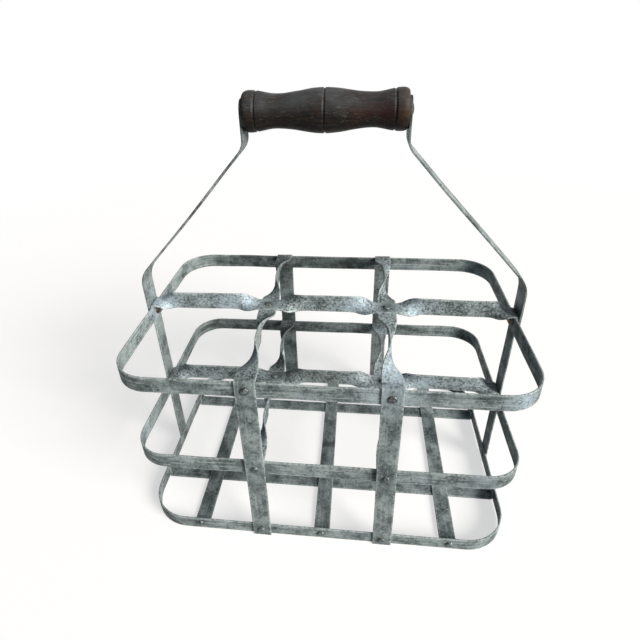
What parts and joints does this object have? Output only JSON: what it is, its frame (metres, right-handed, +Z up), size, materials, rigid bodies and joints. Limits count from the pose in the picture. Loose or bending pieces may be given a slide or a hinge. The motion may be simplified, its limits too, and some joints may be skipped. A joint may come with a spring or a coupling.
{
  "type": "bottle caddy",
  "caption": "Open strap-metal bottle caddy with riveted rings, twisted cell dividers, a slatted floor and a swinging bail with a turned wooden grip.",
  "frame": {"origin": "on the ground under the middle of the caddy", "axes": "+X to the right along the long side, -Y to the front, +Z up"},
  "size_m": [0.3524, 0.223, 0.384],
  "materials": {
    "galvanised_strap": "weathered galvanised, matt with fine spangle",
    "rivet_steel": "dull, darkened with age",
    "bail_steel": "weathered galvanised, satin",
    "turned_wood": "dark stained, worn satin"
  },
  "bodies": {
    "frame": {"ring_top": "galvanised_strap", "ring_middle": "galvanised_strap", "ring_floor": "galvanised_strap", "hoop_left": "galvanised_strap", "hoop_right": "galvanised_strap", "hoop_long": "galvanised_strap", "divider_left": "galvanised_strap", "divider_right": "galvanised_strap", "divider_long": "galvanised_strap", "floor_strap_front": "galvanised_strap", "floor_strap_back": "galvanised_strap", "floor_strap_left": "galvanised_strap", "floor_strap_centre": "galvanised_strap", "floor_strap_right": "galvanised_strap", "rivets_ring_top": "rivet_steel", "rivets_ring_middle": "rivet_steel", "rivets_ring_floor": "rivet_steel", "rivets_floor_straps": "rivet_steel", "rivets_top_crossings": "rivet_steel", "rivets_middle_crossings": "rivet_steel", "pivot_rivet_left": "rivet_steel", "pivot_rivet_right": "rivet_steel"},
    "bail": {"bail_arm_left": "bail_steel", "bail_arm_right": "bail_steel", "grip_rod": "bail_steel"},
    "grip": {"grip": "turned_wood"}
  },
  "joints": [
    {"name": "bail_swing", "type": "hinge", "parent": "frame", "child": "bail", "pos_m": [0, 0, 0.182], "axis": [1, 0, 0], "range_deg": [-65, 65]},
    {"name": "grip_spin", "type": "hinge", "parent": "bail", "child": "grip", "pos_m": [0, 0, 0.3675], "axis": [1, 0, 0], "continuous": true}
  ]
}
